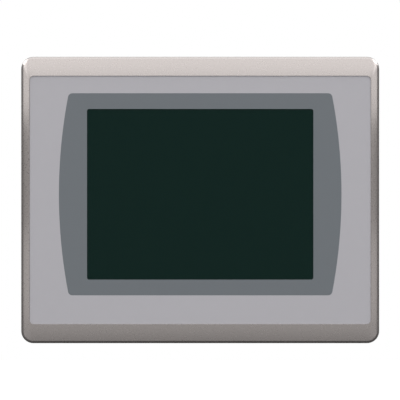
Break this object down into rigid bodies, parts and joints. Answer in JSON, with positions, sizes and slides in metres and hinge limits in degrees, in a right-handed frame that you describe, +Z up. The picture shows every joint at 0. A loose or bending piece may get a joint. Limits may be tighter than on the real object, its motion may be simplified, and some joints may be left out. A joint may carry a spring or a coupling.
{
  "type": "hmi touch panel",
  "caption": "Door-mounted touch panel with a grey bezel, a 4:3 display in a bowed dark mask, a rear seal, four screw clamps, vented cases and bottom-facing ports.",
  "frame": {"origin": "centre of the door cut-out on the door's front face, which is the plane of the seal's rear face", "axes": "+X to the right seen from the front, +Y into the cabinet, away from the viewer, +Z up"},
  "size_m": [0.182, 0.0615, 0.1456],
  "materials": {
    "bezel_grey": "satin metallic grey",
    "label_light": "fine matt film, light grey",
    "label_dark": "fine matt film, dark grey",
    "touch_film": "anti-glare clear film",
    "touch_glass": "clear",
    "foam": "open foam, black",
    "sheet_steel": "plated sheet",
    "lcd_glass": "polished, switched off",
    "diffuser": "white film",
    "light_guide": "clear acrylic",
    "led_strip": "white LEDs on a strip",
    "reflector": "white moulding",
    "brass": "turned hexagon bar",
    "screw_steel": "zinc plated",
    "circuit_board": "green solder mask",
    "chip_black": "moulded epoxy",
    "flex_amber": "polyimide flex",
    "ribbon_white": "flat flex",
    "ribbon_grey": "flat ribbon",
    "seal_rubber": "smooth, black",
    "case_plastic": "finely textured, dark grey",
    "case_metal": "powder coated, dark grey",
    "clip_plastic": "glass-filled, black",
    "pad_plastic": "black",
    "clamp_steel": "zinc plated",
    "heatsink_aluminium": "extruded",
    "capacitor_sleeve": "heat-shrunk sleeve",
    "holder_plastic": "black",
    "cell_steel": "polished can",
    "terminal_green": "moulded, green",
    "nickel": "nickel plated",
    "insert_black": "black",
    "jack_steel": "tinned shield",
    "usb_white": "white",
    "card_plastic": "dark blue grey",
    "button_white": "off-white",
    "rating_film": "blank silver film"
  },
  "bodies": {
    "panel": {"front_bezel": "bezel_grey", "face_label": "label_light", "mask_label": "label_dark", "touch_film": "touch_film", "touch_glass": "touch_glass", "lcd_foam": "foam", "lcd_frame": "sheet_steel", "lcd_cell": "lcd_glass", "backlight_films": "diffuser", "light_guide": "light_guide", "led_bar": "led_strip", "backlight_tray": "reflector", "chassis_spacers": "brass", "chassis_plate": "sheet_steel", "chassis_screws": "screw_steel", "display_board": "circuit_board", "display_board_parts": "chip_black", "touch_tail": "flex_amber", "display_ribbon": "ribbon_white", "link_ribbon": "ribbon_grey", "panel_gasket": "seal_rubber", "rear_case": "case_plastic", "case_screws": "screw_steel", "clip_top_left": "clip_plastic", "clip_top_right": "clip_plastic", "clip_bottom_left": "clip_plastic", "clip_bottom_right": "clip_plastic", "logic_case": "case_metal", "case_lugs": "case_metal", "logic_spacers": "brass", "logic_board": "circuit_board", "board_screws": "screw_steel", "heatsink": "heatsink_aluminium", "logic_chips": "chip_black", "capacitors": "capacitor_sleeve", "battery_holder": "holder_plastic", "coin_cell": "cell_steel", "door_hinge_pin": "screw_steel", "power_header": "terminal_green", "serial_shell": "nickel", "serial_insert": "insert_black", "ethernet_jack": "jack_steel", "usb_shells": "nickel", "usb_tongues": "usb_white", "card_socket": "jack_steel", "reset_switch": "chip_black", "rating_label": "rating_film"},
    "pad_top_left": {"pad_top_left": "pad_plastic"},
    "screw_top_left": {"screw_top_left": "clamp_steel"},
    "pad_top_right": {"pad_top_right": "pad_plastic"},
    "screw_top_right": {"screw_top_right": "clamp_steel"},
    "pad_bottom_left": {"pad_bottom_left": "pad_plastic"},
    "screw_bottom_left": {"screw_bottom_left": "clamp_steel"},
    "pad_bottom_right": {"pad_bottom_right": "pad_plastic"},
    "screw_bottom_right": {"screw_bottom_right": "clamp_steel"},
    "power_plug": {"power_plug": "terminal_green", "terminal_screws": "screw_steel"},
    "memory_card": {"memory_card": "card_plastic"},
    "battery_door": {"battery_door": "case_plastic"},
    "reset_button": {"reset_button": "button_white"}
  },
  "joints": [
    {"name": "pad_slide_top_left", "type": "slide", "parent": "panel", "child": "pad_top_left", "axis": [0, -1, 0], "range_m": [0, 0.007]},
    {"name": "screw_turn_top_left", "type": "hinge", "parent": "pad_top_left", "child": "screw_top_left", "pos_m": [-0.06, 0.03, 0.0672], "axis": [0, -1, 0], "range_deg": [0, 3600]},
    {"name": "pad_slide_top_right", "type": "slide", "parent": "panel", "child": "pad_top_right", "axis": [0, -1, 0], "range_m": [0, 0.007]},
    {"name": "screw_turn_top_right", "type": "hinge", "parent": "pad_top_right", "child": "screw_top_right", "pos_m": [0.06, 0.03, 0.0672], "axis": [0, -1, 0], "range_deg": [0, 3600]},
    {"name": "pad_slide_bottom_left", "type": "slide", "parent": "panel", "child": "pad_bottom_left", "axis": [0, -1, 0], "range_m": [0, 0.007]},
    {"name": "screw_turn_bottom_left", "type": "hinge", "parent": "pad_bottom_left", "child": "screw_bottom_left", "pos_m": [-0.06, 0.03, -0.0672], "axis": [0, -1, 0], "range_deg": [0, 3600]},
    {"name": "pad_slide_bottom_right", "type": "slide", "parent": "panel", "child": "pad_bottom_right", "axis": [0, -1, 0], "range_m": [0, 0.007]},
    {"name": "screw_turn_bottom_right", "type": "hinge", "parent": "pad_bottom_right", "child": "screw_bottom_right", "pos_m": [0.06, 0.03, -0.0672], "axis": [0, -1, 0], "range_deg": [0, 3600]},
    {"name": "plug_slide", "type": "slide", "parent": "panel", "child": "power_plug", "axis": [0, 0, -1], "range_m": [0, 0.012]},
    {"name": "card_slide", "type": "slide", "parent": "panel", "child": "memory_card", "axis": [1, 0, 0], "range_m": [0, 0.026]},
    {"name": "door_hinge", "type": "hinge", "parent": "panel", "child": "battery_door", "pos_m": [-0.0502, 0.0504, 0.018], "axis": [0, 0, 1], "range_deg": [0, 110]},
    {"name": "reset_press", "type": "slide", "parent": "panel", "child": "reset_button", "axis": [0, -1, 0], "range_m": [0, 0.0009], "stiffness_N_per_m": 250}
  ],
  "couplings": [
    {"joint": "screw_turn_top_left", "follows": "pad_slide_top_left", "rad_per_m": 8975.9},
    {"joint": "screw_turn_top_right", "follows": "pad_slide_top_right", "rad_per_m": 8975.9},
    {"joint": "screw_turn_bottom_left", "follows": "pad_slide_bottom_left", "rad_per_m": 8975.9},
    {"joint": "screw_turn_bottom_right", "follows": "pad_slide_bottom_right", "rad_per_m": 8975.9}
  ]
}
